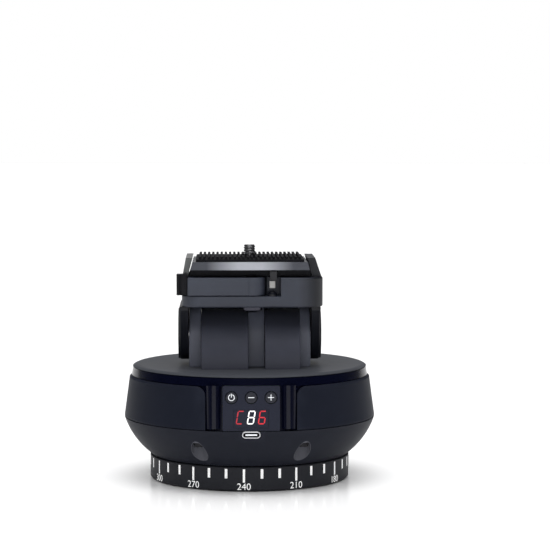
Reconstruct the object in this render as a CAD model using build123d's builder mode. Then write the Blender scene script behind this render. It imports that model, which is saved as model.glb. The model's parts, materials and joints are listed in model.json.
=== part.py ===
from build123d import *
import math
import os

os.makedirs("parts", exist_ok=True)

# Motorised pan and tilt head. Millimetres, +Z up, display towards -Y.
# The origin is the centre of the underside, on the table.

# ---- driving dimensions: graduated base and pan bearing ----
base_radius = 51.4
base_bottom = 0.6
base_floor = 4.1
base_top = 12.4
base_wall = 3.0
foot_inner = 34.0
foot_outer = 48.5
foot_height = 1.8
socket_radius = 7.0
socket_height = 13.0
tripod_thread_radius = 3.175
tripod_thread_depth = 12.0
hub_radius = 15.0
hub_shoulder_radius = 17.5
bearing_bottom = 12.5
bearing_top = 19.5
bearing_outer = 21.0
ball_radius = 1.9
ball_pitch_radius = 18.0
ball_count = 16
retainer_radius = 17.2
retainer_thickness = 1.5
retainer_screw_circle = 11.0

# ---- driving dimensions: gears ----
gear_module = 0.8
pressure_angle = math.radians(20)
gear_backlash = 0.12
pan_gear_teeth = 60
tilt_gear_teeth = 36
pinion_teeth = 15
pan_gear_width = 6.0
pinion_width = 5.0
pan_gear_start = 4.9
motor_shaft_radius = 2.0
gear_screw_circle = 20.2
pan_motor_y = gear_module * (pan_gear_teeth + pinion_teeth) / 2

# ---- driving dimensions: turning body ----
body_radius = 64.6
belly_bottom = 12.9
belly_floor = 15.1
seam_z = 31.8
belt_bottom = 32.0
belt_top = 53.2
rim_bottom = 57.9
deck_z = 58.4
shell_top = 57.6
screw_circle = 57.9
screw_angles = (26, 90, 154, 206, 270, 334)
screw_pocket_radius = 4.1
screw_pocket_top = 25.2
screw_column_top = 28.0
screw_head_height = 2.2
screw_boss_bottom = 28.2
chassis_top = 18.1
panel_lean = 5.9
panel_width = 28.2
panel_height = 22.2
panel_depth = 2.4
button_pitch = 9.7
button_radius = 2.85
usb_width = 8.94
usb_height = 3.26
usb_rim = 0.65
usb_z = 30.2

# ---- driving dimensions: cells and frame inside the casing ----
cell_x = 30.0
cell_z = 31.0
cell_radius = 9.2
cell_length = 65.0
frame_plate_z = 41.0

# ---- driving dimensions: column and tilt axis ----
tilt_z = 74.4
ear_radius = 14.9
ear_outer = 31.0
drum_radius = 27.3
drum_centre_z = 59.6
column_wall = 2.0
shaft_radius = 4.0
tilt_motor_z = tilt_z - gear_module * (tilt_gear_teeth + pinion_teeth) / 2

# ---- driving dimensions: yoke and camera clamp ----
arm_inner = 31.35
arm_outer = 35.9
arm_end_radius = 13.5
arm_head_width = 43.0
tenon_height = 5.0
tenon_width = 30.0
tenon_start = 32.0
tenon_thickness = 1.6
screw_seat_x = 33.6
bridge_centre = 1.2
bridge_half_width = 35.8
bridge_half_depth = 28.0
bridge_corner = 10.0
fixed_jaw_half = 19.0
bridge_bottom = 89.8
web_bottom = 84.2
web_thickness = 2.5
edge_break = 0.5
ledge_z = 95.3
clamp_deck_z = 104.7
jaw_top = 114.3
lever_x = 1.0
lever_y = -21.7
lever_boss = 6.6
lever_sweep = 7.9
plate_bottom = 105.05
plate_step = 108.5
plate_top = 112.6
pad_top = 115.2
screw_tip = 120.2
screw_head_radius = 9.6
screw_head_bottom = 105.5
screw_head_top = 108.4
screw_neck_radius = 2.6
thread_start = 115.6
thread_lead = 0.6
camera_thread_radius = 3.175

# turned pieces start their revolution here, away from the screw pockets and the front
turn_angle = math.radians(60)
turning_plane = Plane(
    origin=(0, 0, 0),
    x_dir=(math.cos(turn_angle), math.sin(turn_angle), 0),
    z_dir=(math.sin(turn_angle), -math.cos(turn_angle), 0),
)


def involute(angle):
    """Involute function of an angle in radians."""
    return math.tan(angle) - angle


def gear_points(teeth, first_tooth):
    """Corners of an involute gear with one tooth centred at first_tooth degrees."""
    pitch = teeth * gear_module / 2
    base = pitch * math.cos(pressure_angle)
    tip = pitch + 0.95 * gear_module
    root = pitch - 1.25 * gear_module
    start = max(base, root)
    half_pitch = (math.pi * gear_module / 2 - gear_backlash) / (2 * pitch)

    def half_angle(radius):
        return half_pitch + involute(pressure_angle) - involute(math.acos(base / radius))

    rise = [(root, half_angle(start))] if base > root else []
    rise += [(radius, half_angle(radius)) for radius in (start + (tip - start) * k / 4 for k in range(5))]
    points = []
    for tooth in range(teeth):
        centre = math.radians(first_tooth) + 2 * math.pi * tooth / teeth
        polar = [(r, centre - a) for r, a in rise] + [(r, centre + a) for r, a in reversed(rise)]
        points += [(r * math.cos(a), r * math.sin(a)) for r, a in polar]
    return points


def on_circle(radius, degrees):
    """Point on a circle about the pan axis, the angle counted from the front, clockwise from above."""
    angle = math.radians(degrees)
    return (-radius * math.sin(angle), -radius * math.cos(angle))


# =====================================================================
# Graduated base
# =====================================================================

with BuildPart() as base_ring:
    with BuildSketch(Plane.XZ):
        with BuildLine():
            Polyline(
                (socket_radius, base_bottom),
                (foot_inner - 0.1, base_bottom),
                (foot_inner - 0.1, foot_height),
                (foot_outer + 0.1, foot_height),
                (foot_outer + 0.1, base_bottom),
                (base_radius - 0.5, base_bottom),
                (base_radius, base_bottom + 0.5),
                (base_radius, base_top - 0.4),
                (base_radius - 0.4, base_top),
                (base_radius - base_wall, base_top),
                (base_radius - base_wall, base_floor),
                (hub_shoulder_radius, base_floor),
                (hub_shoulder_radius, bearing_bottom),
                (hub_radius, bearing_bottom),
                (hub_radius, bearing_top),
                (socket_radius, bearing_top),
                close=True,
            )
        make_face()
    revolve(axis=Axis.Z)
    with BuildSketch(Plane.XY.offset(bearing_top)):
        with PolarLocations(retainer_screw_circle, 3):
            Circle(1.25)
    extrude(amount=-6, mode=Mode.SUBTRACT)
    with BuildSketch(Plane.XY.offset(base_floor)):
        with PolarLocations(gear_screw_circle, 3, start_angle=30):
            Circle(1.0)
    extrude(amount=-2, mode=Mode.SUBTRACT)
base_ring.part.label = "base_ring"
export_step(base_ring.part, "parts/base_ring.step")

with BuildPart() as foot_ring:
    with BuildSketch():
        Circle(foot_outer)
        Circle(foot_inner, mode=Mode.SUBTRACT)
    extrude(amount=foot_height)
    fillet(foot_ring.edges().group_by(Axis.Z)[0], radius=0.4)
foot_ring.part.label = "foot_ring"
export_step(foot_ring.part, "parts/foot_ring.step")

with BuildPart() as tripod_socket:
    with BuildSketch(Plane.XY.offset(base_bottom)):
        Circle(socket_radius)
    extrude(amount=socket_height)
    with BuildSketch(Plane.XY.offset(base_bottom)):
        Circle(tripod_thread_radius)
    extrude(amount=tripod_thread_depth, mode=Mode.SUBTRACT)
tripod_socket.part.label = "tripod_socket"
export_step(tripod_socket.part, "parts/tripod_socket.step")

with BuildPart() as pan_gear:
    with BuildSketch(Plane.XY.offset(base_floor)):
        with BuildLine():
            Polyline(*gear_points(pan_gear_teeth, 90), close=True)
        make_face()
        Circle(hub_shoulder_radius, mode=Mode.SUBTRACT)
        with PolarLocations(gear_screw_circle, 3, start_angle=30):
            Circle(1.0, mode=Mode.SUBTRACT)
    extrude(amount=pan_gear_width)
pan_gear.part.label = "pan_gear"
export_step(pan_gear.part, "parts/pan_gear.step")

with BuildPart() as gear_screws:
    with BuildSketch(Plane.XY.offset(base_floor + pan_gear_width)):
        with PolarLocations(gear_screw_circle, 3, start_angle=30):
            Circle(1.9)
    extrude(amount=1.4)
    with BuildSketch(Plane.XY.offset(base_floor - 1.8)):
        with PolarLocations(gear_screw_circle, 3, start_angle=30):
            Circle(1.0)
    extrude(amount=7.8)
gear_screws.part.label = "gear_screws"
export_step(gear_screws.part, "parts/gear_screws.step")

bearing_middle = (bearing_bottom + bearing_top) / 2
with BuildPart() as bearing_inner:
    with BuildSketch(Plane.XY.offset(bearing_bottom)):
        Circle(retainer_radius)
        Circle(hub_radius, mode=Mode.SUBTRACT)
    extrude(amount=bearing_top - bearing_bottom)
    with Locations((0, 0, bearing_middle)):
        Torus(ball_pitch_radius, ball_radius - 0.02, mode=Mode.SUBTRACT)
bearing_inner.part.label = "bearing_inner"
export_step(bearing_inner.part, "parts/bearing_inner.step")

with BuildPart() as bearing_balls:
    with BuildSketch(Plane.XY.offset(bearing_middle - 0.5)):
        Circle(ball_pitch_radius + 0.4)
        Circle(ball_pitch_radius - 0.4, mode=Mode.SUBTRACT)
    extrude(amount=1.0)
    with Locations((0, 0, bearing_middle)):
        with PolarLocations(ball_pitch_radius, ball_count):
            Sphere(ball_radius)
bearing_balls.part.label = "bearing_balls"
export_step(bearing_balls.part, "parts/bearing_balls.step")

with BuildPart() as hub_retainer:
    with BuildSketch(Plane.XY.offset(bearing_top)):
        Circle(retainer_radius)
        with PolarLocations(retainer_screw_circle, 3):
            Circle(1.25, mode=Mode.SUBTRACT)
    extrude(amount=retainer_thickness)
hub_retainer.part.label = "hub_retainer"
export_step(hub_retainer.part, "parts/hub_retainer.step")

with BuildPart() as retainer_screws:
    with BuildSketch(Plane.XY.offset(bearing_top + retainer_thickness)):
        with PolarLocations(retainer_screw_circle, 3):
            Circle(2.4)
    extrude(amount=1.6)
    with BuildSketch(Plane.XY.offset(bearing_top - 5.5)):
        with PolarLocations(retainer_screw_circle, 3):
            Circle(1.25)
    extrude(amount=7.0)
retainer_screws.part.label = "retainer_screws"
export_step(retainer_screws.part, "parts/retainer_screws.step")

# =====================================================================
# Turning body: bearing, chassis and drives
# =====================================================================

with BuildPart() as bearing_race:
    with BuildSketch(Plane.XY.offset(bearing_bottom)):
        Circle(bearing_outer)
        Circle(18.8, mode=Mode.SUBTRACT)
    extrude(amount=bearing_top - bearing_bottom)
    with Locations((0, 0, bearing_middle)):
        Torus(ball_pitch_radius, ball_radius + 0.05, mode=Mode.SUBTRACT)
bearing_race.part.label = "bearing_race"
export_step(bearing_race.part, "parts/bearing_race.step")

with BuildPart() as chassis:
    with BuildSketch(Plane.XY.offset(belly_floor)):
        Circle(47)
        with Locations((0, pan_motor_y)):
            Circle(4, mode=Mode.SUBTRACT)
    extrude(amount=chassis_top - belly_floor)
    with BuildSketch(Plane.XY.offset(13.2)):
        Circle(25.5)
    extrude(amount=7.8)
    with BuildSketch(Plane.XY.offset(13.2)):
        Circle(bearing_outer)
    extrude(amount=bearing_top - 13.2, mode=Mode.SUBTRACT)
    with BuildSketch(Plane.XY.offset(bearing_top)):
        Circle(19.6)
    extrude(amount=1.5, mode=Mode.SUBTRACT)
    with BuildSketch(Plane.XY.offset(belly_floor)):
        with PolarLocations(40, 4, start_angle=45):
            Circle(1.6)
    extrude(amount=chassis_top - belly_floor, mode=Mode.SUBTRACT)
chassis.part.label = "chassis"
export_step(chassis.part, "parts/chassis.step")

motor_seat = bearing_top + retainer_thickness
with BuildPart() as pan_motor:
    with BuildSketch(Plane.XY.offset(motor_seat)):
        with Locations((0, pan_motor_y)):
            Circle(12)
    extrude(amount=12)
    with BuildSketch(Plane.XY.offset(motor_seat + 12)):
        with Locations((0, pan_motor_y)):
            Circle(10)
    extrude(amount=19)
    with BuildSketch(Plane.XY.offset(motor_seat)):
        with Locations((0, pan_motor_y)):
            Circle(2.05)
    extrude(amount=8, mode=Mode.SUBTRACT)
pan_motor.part.label = "pan_motor"
export_step(pan_motor.part, "parts/pan_motor.step")

with BuildPart() as pan_motor_shaft:
    with BuildSketch(Plane.XY.offset(pan_gear_start)):
        with Locations((0, pan_motor_y)):
            Circle(motor_shaft_radius)
    extrude(amount=20)
pan_motor_shaft.part.label = "pan_motor_shaft"
export_step(pan_motor_shaft.part, "parts/pan_motor_shaft.step")

with BuildPart() as pan_pinion:
    with BuildSketch(Plane(origin=(0, pan_motor_y, pan_gear_start))):
        with BuildLine():
            Polyline(*gear_points(pinion_teeth, 270 + 180 / pinion_teeth), close=True)
        make_face()
        Circle(motor_shaft_radius, mode=Mode.SUBTRACT)
    extrude(amount=pinion_width)
    with BuildSketch(Plane(origin=(0, pan_motor_y, pan_gear_start + pinion_width))):
        Circle(2 * motor_shaft_radius)
        Circle(motor_shaft_radius, mode=Mode.SUBTRACT)
    extrude(amount=1.8)
pan_pinion.part.label = "pan_pinion"
export_step(pan_pinion.part, "parts/pan_pinion.step")

with BuildPart() as battery_cradle:
    with BuildSketch(Plane.XY.offset(chassis_top)):
        with Locations((-cell_x, 0), (cell_x, 0)):
            Rectangle(2 * cell_radius + 0.2, cell_length + 1.6)
    extrude(amount=6)
    with BuildSketch(Plane.XZ.offset(-40)):
        with Locations((-cell_x, cell_z), (cell_x, cell_z)):
            Circle(cell_radius + 0.1)
    extrude(amount=80, mode=Mode.SUBTRACT)
    with BuildSketch(Plane.XY.offset(chassis_top)):
        Circle(25.8)
    extrude(amount=3.2, mode=Mode.SUBTRACT)
battery_cradle.part.label = "battery_cradle"
export_step(battery_cradle.part, "parts/battery_cradle.step")

with BuildPart() as battery_cells:
    with BuildSketch(Plane.XZ.offset(-cell_length / 2)):
        with Locations((-cell_x, cell_z), (cell_x, cell_z)):
            Circle(cell_radius)
    extrude(amount=cell_length)
battery_cells.part.label = "battery_cells"
export_step(battery_cells.part, "parts/battery_cells.step")

with BuildPart() as frame_posts:
    with BuildSketch(Plane.XY.offset(chassis_top)):
        with Locations((-14, -27), (14, -27), (-17, 24), (17, 24)):
            RegularPolygon(3, 6)
    extrude(amount=frame_plate_z - chassis_top)
frame_posts.part.label = "frame_posts"
export_step(frame_posts.part, "parts/frame_posts.step")

with BuildPart() as tilt_chassis:
    with BuildSketch(Plane.XY.offset(frame_plate_z)):
        with Locations((-3, -6)):
            RectangleRounded(46, 48, 3)
        with Locations((-16, 20), (16, 20)):
            RectangleRounded(9, 14, 3)
    extrude(amount=2)
    with BuildSketch(Plane.YZ.offset(-26)):
        with Locations((0, 49)):
            Rectangle(24, 13)
    extrude(amount=2)
    with BuildSketch(Plane.YZ.offset(13)):
        with Locations((0, 54)):
            Rectangle(22, 23)
        with Locations((0, tilt_motor_z)):
            Circle(3.5, mode=Mode.SUBTRACT)
    extrude(amount=2)
tilt_chassis.part.label = "tilt_chassis"
export_step(tilt_chassis.part, "parts/tilt_chassis.step")

with BuildPart() as tilt_motor:
    with BuildSketch(Plane.YZ.offset(-21)):
        with Locations((0, tilt_motor_z)):
            Circle(8)
    extrude(amount=20)
    with BuildSketch(Plane.YZ.offset(-1)):
        with Locations((0, tilt_motor_z)):
            Circle(10)
    extrude(amount=14)
    with BuildSketch(Plane.YZ.offset(5)):
        with Locations((0, tilt_motor_z)):
            Circle(2.05)
    extrude(amount=8, mode=Mode.SUBTRACT)
tilt_motor.part.label = "tilt_motor"
export_step(tilt_motor.part, "parts/tilt_motor.step")

with BuildPart() as tilt_motor_shaft:
    with BuildSketch(Plane.YZ.offset(6)):
        with Locations((0, tilt_motor_z)):
            Circle(motor_shaft_radius)
    extrude(amount=15.5)
tilt_motor_shaft.part.label = "tilt_motor_shaft"
export_step(tilt_motor_shaft.part, "parts/tilt_motor_shaft.step")

with BuildPart() as tilt_pinion:
    with BuildSketch(Plane(origin=(16, 0, tilt_motor_z), x_dir=(0, 1, 0), z_dir=(1, 0, 0))):
        with BuildLine():
            Polyline(*gear_points(pinion_teeth, 90 + 180 / pinion_teeth), close=True)
        make_face()
        Circle(motor_shaft_radius, mode=Mode.SUBTRACT)
    extrude(amount=pinion_width)
tilt_pinion.part.label = "tilt_pinion"
export_step(tilt_pinion.part, "parts/tilt_pinion.step")

# =====================================================================
# Turning body: casing
# =====================================================================

with BuildPart() as lower_cavity:
    with BuildSketch(turning_plane):
        with BuildLine():
            Polyline(
                (50.4, belly_floor), (0, belly_floor), (0, seam_z + 1), (62.3, seam_z + 1), (62.3, seam_z)
            )
            ThreePointArc((62.3, seam_z), (58.2, 23.9), (50.4, belly_floor))
        make_face()
    revolve(axis=Axis.Z)
    with BuildSketch(Plane.XY.offset(belly_floor - 1)):
        with Locations([on_circle(screw_circle, a) for a in screw_angles]):
            Circle(screw_pocket_radius + 1.4)
    extrude(amount=screw_column_top - belly_floor + 1, mode=Mode.SUBTRACT)

with BuildPart() as lower_shell:
    with BuildSketch(turning_plane):
        with BuildLine():
            Polyline(
                (body_radius, seam_z), (0, seam_z), (0, belly_bottom), (51.0, belly_bottom), (51.4, 13.4)
            )
            ThreePointArc((51.4, 13.4), (60.2, 22.7), (body_radius, seam_z))
        make_face()
    revolve(axis=Axis.Z)
    add(lower_cavity.part, mode=Mode.SUBTRACT)
    with BuildSketch(Plane.XY.offset(belly_bottom - 1)):
        Circle(26)
    extrude(amount=5, mode=Mode.SUBTRACT)
    with BuildSketch(Plane.XY.offset(belly_bottom - 1)):
        with Locations([on_circle(screw_circle, a) for a in screw_angles]):
            Circle(screw_pocket_radius)
    extrude(amount=screw_pocket_top - belly_bottom + 1, mode=Mode.SUBTRACT)
    with BuildSketch(Plane.XY.offset(belly_bottom)):
        with Locations([on_circle(screw_circle, a) for a in screw_angles]):
            Circle(1.5)
        with Locations((0, pan_motor_y)):
            Circle(5)
    extrude(amount=20, mode=Mode.SUBTRACT)
    with BuildSketch(Plane.XZ.offset(50)):
        with Locations((0, usb_z)):
            SlotOverall(usb_width + 0.8, usb_height + 0.8)
    extrude(amount=20, mode=Mode.SUBTRACT)
lower_shell.part.label = "lower_shell"
export_step(lower_shell.part, "parts/lower_shell.step")

with BuildPart() as shell_screws:
    with BuildSketch(Plane.XY.offset(screw_pocket_top - screw_head_height)):
        with Locations([on_circle(screw_circle, a) for a in screw_angles]):
            Circle(2.8)
    extrude(amount=screw_head_height)
    with BuildSketch(Plane.XY.offset(screw_pocket_top - screw_head_height)):
        with Locations([on_circle(screw_circle, a) for a in screw_angles]):
            RegularPolygon(1.4, 6)
    extrude(amount=1.3, mode=Mode.SUBTRACT)
    with BuildSketch(Plane.XY.offset(screw_pocket_top)):
        with Locations([on_circle(screw_circle, a) for a in screw_angles]):
            Circle(1.4)
    extrude(amount=9.5)
shell_screws.part.label = "shell_screws"
export_step(shell_screws.part, "parts/shell_screws.step")

lean = math.radians(panel_lean)
panel_plane = Plane(
    origin=(0, -61.6, 43.1),
    x_dir=(1, 0, 0),
    z_dir=(0, -math.cos(lean), math.sin(lean)),
)
pilaster_radius = 4.15
pilaster_bottom = 32.6
pilaster_y = -57.05 - math.tan(lean) * (42.9 - pilaster_bottom)

with BuildPart() as upper_shell:
    with BuildSketch(Plane.XZ):
        with BuildLine():
            Polyline(
                (59.5, 29.6),
                (61.1, 29.6),
                (61.1, belt_bottom),
                (62.6, belt_bottom),
                (60.2, belt_top),
                (60.9, belt_top + 0.4),
                (60.2, shell_top),
                (57.9, shell_top),
                (57.9, belt_top),
                (59.5, belt_bottom),
                close=True,
            )
        make_face()
    revolve(axis=Axis.Z)
    with BuildSketch(Plane.XY.offset(screw_boss_bottom)):
        with Locations([on_circle(screw_circle - 1.2, a) for a in screw_angles]):
            Circle(3.0)
    extrude(amount=14)
    for side in (-1, 1):
        with BuildSketch(
            Plane(
                origin=(side * 18.3, pilaster_y, pilaster_bottom),
                z_dir=(0, math.sin(lean), math.cos(lean)),
            )
        ):
            Circle(pilaster_radius)
        extrude(amount=21.2)
    with BuildSketch(Plane.XY.offset(screw_boss_bottom)):
        with Locations([on_circle(screw_circle, a) for a in screw_angles]):
            Circle(1.4)
    extrude(amount=7, mode=Mode.SUBTRACT)
    with BuildSketch(panel_plane.offset(6)):
        Rectangle(panel_width + 0.2, panel_height + 0.4)
    extrude(amount=-16, mode=Mode.SUBTRACT)
    with BuildSketch(Plane.XZ.offset(50)):
        with Locations((0, usb_z)):
            SlotOverall(usb_width + 0.8, usb_height + 0.8)
    extrude(amount=20, mode=Mode.SUBTRACT)
upper_shell.part.label = "upper_shell"
export_step(upper_shell.part, "parts/upper_shell.step")

belt_gap = 22.5
belt_corner = 4.7
with BuildPart() as belt_panel:
    with BuildSketch(Plane.XZ):
        with BuildLine():
            Polyline(
                (62.65, belt_bottom),
                (body_radius - 0.4, belt_bottom),
                (body_radius, belt_bottom + 0.4),
                (body_radius, belt_bottom + 1.0),
                (62.0, belt_top - 0.8),
                (61.2, belt_top),
                (60.25, belt_top),
                close=True,
            )
        make_face()
    revolve(axis=Axis.Z)
    with BuildSketch(Plane.XZ.offset(45)):
        with BuildLine():
            Line((-belt_gap, belt_bottom - 1), (-belt_gap, belt_top - belt_corner))
            RadiusArc((-belt_gap, belt_top - belt_corner), (-belt_gap - belt_corner, belt_top), -belt_corner)
            Polyline(
                (-belt_gap - belt_corner, belt_top),
                (-belt_gap - belt_corner, belt_top + 1),
                (belt_gap + belt_corner, belt_top + 1),
                (belt_gap + belt_corner, belt_top),
            )
            RadiusArc((belt_gap + belt_corner, belt_top), (belt_gap, belt_top - belt_corner), -belt_corner)
            Line((belt_gap, belt_top - belt_corner), (belt_gap, belt_bottom - 1))
            Line((belt_gap, belt_bottom - 1), (-belt_gap, belt_bottom - 1))
        make_face()
    extrude(amount=30, mode=Mode.SUBTRACT)
belt_panel.part.label = "belt_panel"
export_step(belt_panel.part, "parts/belt_panel.step")

with BuildPart() as top_cover:
    with BuildSketch(Plane.XZ):
        with BuildLine():
            Polyline(
                (0, 56.0), (57.6, 56.0), (57.6, rim_bottom), (60.3, rim_bottom), (60.3, rim_bottom + 0.1)
            )
            ThreePointArc((60.3, rim_bottom + 0.1), (59.1, 58.7), (56.8, 59.0))
            Polyline((56.8, 59.0), (42, deck_z), (0, deck_z), (0, 56.0))
        make_face()
    revolve(axis=Axis.Z)
    with BuildSketch(Plane.XY.offset(55)):
        Rectangle(46, 25)
    extrude(amount=5, mode=Mode.SUBTRACT)
top_cover.part.label = "top_cover"
export_step(top_cover.part, "parts/top_cover.step")

# =====================================================================
# Control panel
# =====================================================================

display_centre = (0, -5.15)
button_row = 5.3
button_places = [(-button_pitch, button_row), (0, button_row), (button_pitch, button_row)]

with BuildPart() as control_panel:
    with BuildSketch(panel_plane):
        RectangleRounded(panel_width, panel_height, 0.8)
        with Locations(button_places):
            Circle(button_radius + 0.3, mode=Mode.SUBTRACT)
        with Locations(display_centre):
            Rectangle(17.2, 8.8, mode=Mode.SUBTRACT)
    extrude(amount=-panel_depth)
    with BuildSketch(Plane.XZ.offset(50)):
        with Locations((0, usb_z)):
            SlotOverall(usb_width + 0.8, usb_height + 0.8)
    extrude(amount=20, mode=Mode.SUBTRACT)
control_panel.part.label = "control_panel"
export_step(control_panel.part, "parts/control_panel.step")

with BuildPart() as display_window:
    with BuildSketch(panel_plane):
        with Locations(display_centre):
            Rectangle(17.0, 8.6)
    extrude(amount=-1.2)
display_window.part.label = "display_window"
export_step(display_window.part, "parts/display_window.step")

with BuildPart() as display_module:
    with BuildSketch(panel_plane.offset(-1.4)):
        with Locations(display_centre):
            Rectangle(16.8, 8.4)
    extrude(amount=-6.4)
display_module.part.label = "display_module"
export_step(display_module.part, "parts/display_module.step")

with BuildPart() as main_board:
    with BuildSketch(panel_plane.offset(-7.8)):
        Rectangle(27.6, 23.6)
    extrude(amount=-1.6)
main_board.part.label = "main_board"
export_step(main_board.part, "parts/main_board.step")

with BuildPart() as tact_switches:
    with BuildSketch(panel_plane.offset(-7.8)):
        with Locations(button_places):
            Rectangle(6, 5)
    extrude(amount=3.2)
    with BuildSketch(panel_plane.offset(-4.6)):
        with Locations(button_places):
            Circle(1.5)
    extrude(amount=0.6)
tact_switches.part.label = "tact_switches"
export_step(tact_switches.part, "parts/tact_switches.step")

with BuildPart() as usb_socket:
    with BuildSketch(Plane.XZ.offset(63.4)):
        with Locations((0, usb_z)):
            SlotOverall(usb_width, usb_height)
    extrude(amount=-7.3)
    with BuildSketch(Plane.XZ.offset(63.4)):
        with Locations((0, usb_z)):
            SlotOverall(usb_width - 2 * usb_rim, usb_height - 2 * usb_rim)
    extrude(amount=-6.2, mode=Mode.SUBTRACT)
    with BuildSketch(Plane.XZ.offset(62.9)):
        with Locations((0, usb_z)):
            Rectangle(6.3, 0.8)
    extrude(amount=-6.5)
usb_socket.part.label = "usb_socket"
export_step(usb_socket.part, "parts/usb_socket.step")

with BuildPart() as power_button:
    with BuildSketch(panel_plane.offset(0.15)):
        with Locations(button_places[0]):
            Circle(button_radius)
    extrude(amount=-3.2)
    fillet(power_button.edges().sort_by(Axis.Y)[0], radius=0.3)
power_button.part.label = "power_button"
export_step(power_button.part, "parts/power_button.step")

with BuildPart() as minus_button:
    with BuildSketch(panel_plane.offset(0.15)):
        with Locations(button_places[1]):
            Circle(button_radius)
    extrude(amount=-3.2)
    fillet(minus_button.edges().sort_by(Axis.Y)[0], radius=0.3)
minus_button.part.label = "minus_button"
export_step(minus_button.part, "parts/minus_button.step")

with BuildPart() as plus_button:
    with BuildSketch(panel_plane.offset(0.15)):
        with Locations(button_places[2]):
            Circle(button_radius)
    extrude(amount=-3.2)
    fillet(plus_button.edges().sort_by(Axis.Y)[0], radius=0.3)
plus_button.part.label = "plus_button"
export_step(plus_button.part, "parts/plus_button.step")

# =====================================================================
# Column with the tilt bearings
# =====================================================================

left_drum = (-24.8, -0.9)
right_drum = (7.5, 25.4)
band_span = (-0.75, 7.35)

with BuildPart() as column_ears:
    for start, end in ((-ear_outer, -25.0), (25.6, ear_outer)):
        with BuildSketch(Plane.YZ.offset(start)):
            with Locations((0, tilt_z)):
                Circle(ear_radius)
            with Locations((0, (deck_z + tilt_z) / 2)):
                Rectangle(2 * ear_radius, tilt_z - deck_z)
        extrude(amount=end - start)
    chamfer(column_ears.faces().sort_by(Axis.X)[-1].edges(), length=edge_break)
    chamfer(column_ears.faces().sort_by(Axis.X)[0].edges(), length=edge_break)
    with BuildSketch(Plane.YZ.offset(-ear_outer)):
        with Locations((0, tilt_z)):
            Circle(6)
    extrude(amount=2 * ear_outer, mode=Mode.SUBTRACT)
column_ears.part.label = "column_ears"
export_step(column_ears.part, "parts/column_ears.step")

with BuildPart() as tilt_bushes:
    for start, end in ((-ear_outer, -25.0), (25.6, ear_outer)):
        with BuildSketch(Plane.YZ.offset(start)):
            with Locations((0, tilt_z)):
                Circle(6)
                Circle(shaft_radius + 0.04, mode=Mode.SUBTRACT)
        extrude(amount=end - start)
tilt_bushes.part.label = "tilt_bushes"
export_step(tilt_bushes.part, "parts/tilt_bushes.step")

with BuildPart() as column_left:
    with BuildSketch(Plane.YZ.offset(left_drum[0])):
        with Locations((0, drum_centre_z)):
            Circle(drum_radius)
        with Locations((0, deck_z - 20)):
            Rectangle(80, 40, mode=Mode.SUBTRACT)
    extrude(amount=left_drum[1] - left_drum[0])
    chamfer(column_left.edges().filter_by(GeomType.CIRCLE), length=0.25)
    with BuildSketch(Plane.YZ.offset(left_drum[0] + column_wall)):
        with Locations((0, drum_centre_z)):
            Circle(drum_radius - column_wall)
    extrude(amount=left_drum[1] - left_drum[0] - 2 * column_wall, mode=Mode.SUBTRACT)
    with BuildSketch(Plane.YZ.offset(left_drum[0])):
        with Locations((0, tilt_z)):
            Circle(5.5)
    extrude(amount=column_wall, mode=Mode.SUBTRACT)
    with BuildSketch(Plane.YZ.offset(left_drum[1])):
        with Locations((0, tilt_z)):
            Circle(ear_radius - 2)
        with Locations((0, 66)):
            Rectangle(2 * ear_radius - 4, 16.8)
    extrude(amount=-column_wall, mode=Mode.SUBTRACT)
column_left.part.label = "column_left"
export_step(column_left.part, "parts/column_left.step")

with BuildPart() as column_right:
    with BuildSketch(Plane.YZ.offset(right_drum[0])):
        with Locations((0, drum_centre_z)):
            Circle(drum_radius)
        with Locations((0, deck_z - 20)):
            Rectangle(80, 40, mode=Mode.SUBTRACT)
    extrude(amount=right_drum[1] - right_drum[0])
    chamfer(column_right.edges().filter_by(GeomType.CIRCLE), length=0.25)
    with BuildSketch(Plane.YZ.offset(right_drum[0] + column_wall)):
        with Locations((0, drum_centre_z)):
            Circle(drum_radius - column_wall)
    extrude(amount=right_drum[1] - right_drum[0] - 2 * column_wall, mode=Mode.SUBTRACT)
    with BuildSketch(Plane.YZ.offset(right_drum[1])):
        with Locations((0, tilt_z)):
            Circle(5.5)
    extrude(amount=-column_wall, mode=Mode.SUBTRACT)
    with BuildSketch(Plane.YZ.offset(right_drum[0])):
        with Locations((0, tilt_z)):
            Circle(ear_radius - 2)
        with Locations((0, 66)):
            Rectangle(2 * ear_radius - 4, 16.8)
    extrude(amount=column_wall, mode=Mode.SUBTRACT)
column_right.part.label = "column_right"
export_step(column_right.part, "parts/column_right.step")

with BuildPart() as column_band:
    with BuildSketch(Plane.YZ.offset(band_span[0])):
        with Locations((0, tilt_z)):
            Circle(ear_radius)
        with Locations((0, (deck_z + tilt_z) / 2)):
            Rectangle(2 * ear_radius, tilt_z - deck_z)
        with Locations((0, tilt_z)):
            Circle(ear_radius - 2, mode=Mode.SUBTRACT)
        with Locations((0, (deck_z + tilt_z) / 2 - 1)):
            Rectangle(2 * ear_radius - 4, tilt_z - deck_z + 2, mode=Mode.SUBTRACT)
    extrude(amount=band_span[1] - band_span[0])
column_band.part.label = "column_band"
export_step(column_band.part, "parts/column_band.step")

# =====================================================================
# Tilting yoke
# =====================================================================

with BuildPart() as tilt_shaft:
    with BuildSketch(Plane.YZ.offset(-arm_inner)):
        with Locations((0, tilt_z)):
            Circle(shaft_radius)
            Circle(1.5, mode=Mode.SUBTRACT)
    extrude(amount=2 * arm_inner)
tilt_shaft.part.label = "tilt_shaft"
export_step(tilt_shaft.part, "parts/tilt_shaft.step")

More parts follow.
